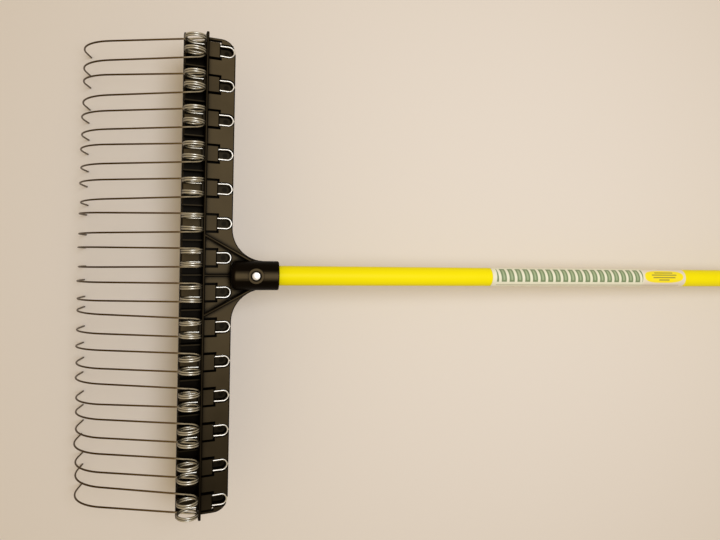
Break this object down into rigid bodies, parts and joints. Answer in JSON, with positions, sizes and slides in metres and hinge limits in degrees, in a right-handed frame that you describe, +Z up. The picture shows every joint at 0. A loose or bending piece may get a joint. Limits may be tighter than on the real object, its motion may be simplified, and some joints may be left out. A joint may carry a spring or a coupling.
{
  "type": "landscape rake",
  "caption": "Wide landscape rake: spring wire tines on torsion coils in a moulded black head, with a long round yellow handle bolted in a socket.",
  "frame": {"origin": "centre of the footprint of the whole rake on the ground, midway along its length", "axes": "+X along the handle from the tines to the end cap, +Y along the head, +Z up; the rake lies on its tine tips and on the rim of its end cap"},
  "size_m": [1.584, 0.5314, 0.1182],
  "materials": {
    "rake_head": "moulded black plastic, satin",
    "spring_01": "bright drawn spring wire",
    "spring_02": "bright drawn spring wire",
    "spring_03": "bright drawn spring wire",
    "spring_04": "bright drawn spring wire",
    "spring_05": "bright drawn spring wire",
    "spring_06": "bright drawn spring wire",
    "spring_07": "bright drawn spring wire",
    "spring_08": "bright drawn spring wire",
    "spring_09": "bright drawn spring wire",
    "spring_10": "bright drawn spring wire",
    "spring_11": "bright drawn spring wire",
    "spring_12": "bright drawn spring wire",
    "spring_13": "bright drawn spring wire",
    "spring_14": "bright drawn spring wire",
    "handle_tube": "smooth glossy yellow shaft",
    "handle_core": "plain turned plug",
    "end_cap": "soft black plastic",
    "label_sleeve": "plain pale film, no print",
    "socket_bolt": "bright zinc plated",
    "bolt_washer": "zinc plated",
    "lock_nut": "zinc plated",
    "tine_01": "drawn spring wire, dulled by use",
    "tine_02": "drawn spring wire, dulled by use",
    "tine_03": "drawn spring wire, dulled by use",
    "tine_04": "drawn spring wire, dulled by use",
    "tine_05": "drawn spring wire, dulled by use",
    "tine_06": "drawn spring wire, dulled by use",
    "tine_07": "drawn spring wire, dulled by use",
    "tine_08": "drawn spring wire, dulled by use",
    "tine_09": "drawn spring wire, dulled by use",
    "tine_10": "drawn spring wire, dulled by use",
    "tine_11": "drawn spring wire, dulled by use",
    "tine_12": "drawn spring wire, dulled by use",
    "tine_13": "drawn spring wire, dulled by use",
    "tine_14": "drawn spring wire, dulled by use",
    "tine_15": "drawn spring wire, dulled by use",
    "tine_16": "drawn spring wire, dulled by use",
    "tine_17": "drawn spring wire, dulled by use",
    "tine_18": "drawn spring wire, dulled by use",
    "tine_19": "drawn spring wire, dulled by use",
    "tine_20": "drawn spring wire, dulled by use",
    "tine_21": "drawn spring wire, dulled by use",
    "tine_22": "drawn spring wire, dulled by use",
    "tine_23": "drawn spring wire, dulled by use",
    "tine_24": "drawn spring wire, dulled by use",
    "tine_25": "drawn spring wire, dulled by use",
    "tine_26": "drawn spring wire, dulled by use",
    "tine_27": "drawn spring wire, dulled by use",
    "tine_28": "drawn spring wire, dulled by use"
  },
  "bodies": {
    "rake": {"rake_head": "rake_head", "spring_01": "spring_01", "spring_02": "spring_02", "spring_03": "spring_03", "spring_04": "spring_04", "spring_05": "spring_05", "spring_06": "spring_06", "spring_07": "spring_07", "spring_08": "spring_08", "spring_09": "spring_09", "spring_10": "spring_10", "spring_11": "spring_11", "spring_12": "spring_12", "spring_13": "spring_13", "spring_14": "spring_14", "handle_tube": "handle_tube", "handle_core": "handle_core", "end_cap": "end_cap", "label_sleeve": "label_sleeve", "socket_bolt": "socket_bolt", "bolt_washer": "bolt_washer", "lock_nut": "lock_nut"},
    "tine_01": {"tine_01": "tine_01"},
    "tine_02": {"tine_02": "tine_02"},
    "tine_03": {"tine_03": "tine_03"},
    "tine_04": {"tine_04": "tine_04"},
    "tine_05": {"tine_05": "tine_05"},
    "tine_06": {"tine_06": "tine_06"},
    "tine_07": {"tine_07": "tine_07"},
    "tine_08": {"tine_08": "tine_08"},
    "tine_09": {"tine_09": "tine_09"},
    "tine_10": {"tine_10": "tine_10"},
    "tine_11": {"tine_11": "tine_11"},
    "tine_12": {"tine_12": "tine_12"},
    "tine_13": {"tine_13": "tine_13"},
    "tine_14": {"tine_14": "tine_14"},
    "tine_15": {"tine_15": "tine_15"},
    "tine_16": {"tine_16": "tine_16"},
    "tine_17": {"tine_17": "tine_17"},
    "tine_18": {"tine_18": "tine_18"},
    "tine_19": {"tine_19": "tine_19"},
    "tine_20": {"tine_20": "tine_20"},
    "tine_21": {"tine_21": "tine_21"},
    "tine_22": {"tine_22": "tine_22"},
    "tine_23": {"tine_23": "tine_23"},
    "tine_24": {"tine_24": "tine_24"},
    "tine_25": {"tine_25": "tine_25"},
    "tine_26": {"tine_26": "tine_26"},
    "tine_27": {"tine_27": "tine_27"},
    "tine_28": {"tine_28": "tine_28"}
  },
  "joints": [
    {"name": "tine_01_flex", "type": "hinge", "parent": "rake", "child": "tine_01", "pos_m": [-0.65311, 0.25775, 0.10707], "axis": [0, 1, 0], "range_deg": [0, 32], "stiffness_Nm_per_rad": 1.3, "springref_deg": -1.72, "deforming": ["spring_01"]},
    {"name": "tine_02_flex", "type": "hinge", "parent": "rake", "child": "tine_02", "pos_m": [-0.65311, 0.23755, 0.10707], "axis": [0, 1, 0], "range_deg": [0, 32], "stiffness_Nm_per_rad": 1.3, "springref_deg": -1.72, "deforming": ["spring_01"]},
    {"name": "tine_03_flex", "type": "hinge", "parent": "rake", "child": "tine_03", "pos_m": [-0.65311, 0.21965, 0.10707], "axis": [0, 1, 0], "range_deg": [0, 32], "stiffness_Nm_per_rad": 1.3, "springref_deg": -1.72, "deforming": ["spring_02"]},
    {"name": "tine_04_flex", "type": "hinge", "parent": "rake", "child": "tine_04", "pos_m": [-0.65311, 0.19945, 0.10707], "axis": [0, 1, 0], "range_deg": [0, 32], "stiffness_Nm_per_rad": 1.3, "springref_deg": -1.72, "deforming": ["spring_02"]},
    {"name": "tine_05_flex", "type": "hinge", "parent": "rake", "child": "tine_05", "pos_m": [-0.65311, 0.18155, 0.10707], "axis": [0, 1, 0], "range_deg": [0, 32], "stiffness_Nm_per_rad": 1.3, "springref_deg": -1.72, "deforming": ["spring_03"]},
    {"name": "tine_06_flex", "type": "hinge", "parent": "rake", "child": "tine_06", "pos_m": [-0.65311, 0.16135, 0.10707], "axis": [0, 1, 0], "range_deg": [0, 32], "stiffness_Nm_per_rad": 1.3, "springref_deg": -1.72, "deforming": ["spring_03"]},
    {"name": "tine_07_flex", "type": "hinge", "parent": "rake", "child": "tine_07", "pos_m": [-0.65311, 0.14345, 0.10707], "axis": [0, 1, 0], "range_deg": [0, 32], "stiffness_Nm_per_rad": 1.3, "springref_deg": -1.72, "deforming": ["spring_04"]},
    {"name": "tine_08_flex", "type": "hinge", "parent": "rake", "child": "tine_08", "pos_m": [-0.65311, 0.12325, 0.10707], "axis": [0, 1, 0], "range_deg": [0, 32], "stiffness_Nm_per_rad": 1.3, "springref_deg": -1.72, "deforming": ["spring_04"]},
    {"name": "tine_09_flex", "type": "hinge", "parent": "rake", "child": "tine_09", "pos_m": [-0.65311, 0.10535, 0.10707], "axis": [0, 1, 0], "range_deg": [0, 32], "stiffness_Nm_per_rad": 1.3, "springref_deg": -1.72, "deforming": ["spring_05"]},
    {"name": "tine_10_flex", "type": "hinge", "parent": "rake", "child": "tine_10", "pos_m": [-0.65311, 0.08515, 0.10707], "axis": [0, 1, 0], "range_deg": [0, 32], "stiffness_Nm_per_rad": 1.3, "springref_deg": -1.72, "deforming": ["spring_05"]},
    {"name": "tine_11_flex", "type": "hinge", "parent": "rake", "child": "tine_11", "pos_m": [-0.65311, 0.06725, 0.10707], "axis": [0, 1, 0], "range_deg": [0, 32], "stiffness_Nm_per_rad": 1.3, "springref_deg": -1.72, "deforming": ["spring_06"]},
    {"name": "tine_12_flex", "type": "hinge", "parent": "rake", "child": "tine_12", "pos_m": [-0.65311, 0.04705, 0.10707], "axis": [0, 1, 0], "range_deg": [0, 32], "stiffness_Nm_per_rad": 1.3, "springref_deg": -1.72, "deforming": ["spring_06"]},
    {"name": "tine_13_flex", "type": "hinge", "parent": "rake", "child": "tine_13", "pos_m": [-0.65311, 0.02915, 0.10707], "axis": [0, 1, 0], "range_deg": [0, 32], "stiffness_Nm_per_rad": 1.3, "springref_deg": -1.72, "deforming": ["spring_07"]},
    {"name": "tine_14_flex", "type": "hinge", "parent": "rake", "child": "tine_14", "pos_m": [-0.65311, 0.00895, 0.10707], "axis": [0, 1, 0], "range_deg": [0, 32], "stiffness_Nm_per_rad": 1.3, "springref_deg": -1.72, "deforming": ["spring_07"]},
    {"name": "tine_15_flex", "type": "hinge", "parent": "rake", "child": "tine_15", "pos_m": [-0.65311, -0.00895, 0.10707], "axis": [0, 1, 0], "range_deg": [0, 32], "stiffness_Nm_per_rad": 1.3, "springref_deg": -1.72, "deforming": ["spring_08"]},
    {"name": "tine_16_flex", "type": "hinge", "parent": "rake", "child": "tine_16", "pos_m": [-0.65311, -0.02915, 0.10707], "axis": [0, 1, 0], "range_deg": [0, 32], "stiffness_Nm_per_rad": 1.3, "springref_deg": -1.72, "deforming": ["spring_08"]},
    {"name": "tine_17_flex", "type": "hinge", "parent": "rake", "child": "tine_17", "pos_m": [-0.65311, -0.04705, 0.10707], "axis": [0, 1, 0], "range_deg": [0, 32], "stiffness_Nm_per_rad": 1.3, "springref_deg": -1.72, "deforming": ["spring_09"]},
    {"name": "tine_18_flex", "type": "hinge", "parent": "rake", "child": "tine_18", "pos_m": [-0.65311, -0.06725, 0.10707], "axis": [0, 1, 0], "range_deg": [0, 32], "stiffness_Nm_per_rad": 1.3, "springref_deg": -1.72, "deforming": ["spring_09"]},
    {"name": "tine_19_flex", "type": "hinge", "parent": "rake", "child": "tine_19", "pos_m": [-0.65311, -0.08515, 0.10707], "axis": [0, 1, 0], "range_deg": [0, 32], "stiffness_Nm_per_rad": 1.3, "springref_deg": -1.72, "deforming": ["spring_10"]},
    {"name": "tine_20_flex", "type": "hinge", "parent": "rake", "child": "tine_20", "pos_m": [-0.65311, -0.10535, 0.10707], "axis": [0, 1, 0], "range_deg": [0, 32], "stiffness_Nm_per_rad": 1.3, "springref_deg": -1.72, "deforming": ["spring_10"]},
    {"name": "tine_21_flex", "type": "hinge", "parent": "rake", "child": "tine_21", "pos_m": [-0.65311, -0.12325, 0.10707], "axis": [0, 1, 0], "range_deg": [0, 32], "stiffness_Nm_per_rad": 1.3, "springref_deg": -1.72, "deforming": ["spring_11"]},
    {"name": "tine_22_flex", "type": "hinge", "parent": "rake", "child": "tine_22", "pos_m": [-0.65311, -0.14345, 0.10707], "axis": [0, 1, 0], "range_deg": [0, 32], "stiffness_Nm_per_rad": 1.3, "springref_deg": -1.72, "deforming": ["spring_11"]},
    {"name": "tine_23_flex", "type": "hinge", "parent": "rake", "child": "tine_23", "pos_m": [-0.65311, -0.16135, 0.10707], "axis": [0, 1, 0], "range_deg": [0, 32], "stiffness_Nm_per_rad": 1.3, "springref_deg": -1.72, "deforming": ["spring_12"]},
    {"name": "tine_24_flex", "type": "hinge", "parent": "rake", "child": "tine_24", "pos_m": [-0.65311, -0.18155, 0.10707], "axis": [0, 1, 0], "range_deg": [0, 32], "stiffness_Nm_per_rad": 1.3, "springref_deg": -1.72, "deforming": ["spring_12"]},
    {"name": "tine_25_flex", "type": "hinge", "parent": "rake", "child": "tine_25", "pos_m": [-0.65311, -0.19945, 0.10707], "axis": [0, 1, 0], "range_deg": [0, 32], "stiffness_Nm_per_rad": 1.3, "springref_deg": -1.72, "deforming": ["spring_13"]},
    {"name": "tine_26_flex", "type": "hinge", "parent": "rake", "child": "tine_26", "pos_m": [-0.65311, -0.21965, 0.10707], "axis": [0, 1, 0], "range_deg": [0, 32], "stiffness_Nm_per_rad": 1.3, "springref_deg": -1.72, "deforming": ["spring_13"]},
    {"name": "tine_27_flex", "type": "hinge", "parent": "rake", "child": "tine_27", "pos_m": [-0.65311, -0.23755, 0.10707], "axis": [0, 1, 0], "range_deg": [0, 32], "stiffness_Nm_per_rad": 1.3, "springref_deg": -1.72, "deforming": ["spring_14"]},
    {"name": "tine_28_flex", "type": "hinge", "parent": "rake", "child": "tine_28", "pos_m": [-0.65311, -0.25775, 0.10707], "axis": [0, 1, 0], "range_deg": [0, 32], "stiffness_Nm_per_rad": 1.3, "springref_deg": -1.72, "deforming": ["spring_14"]}
  ]
}
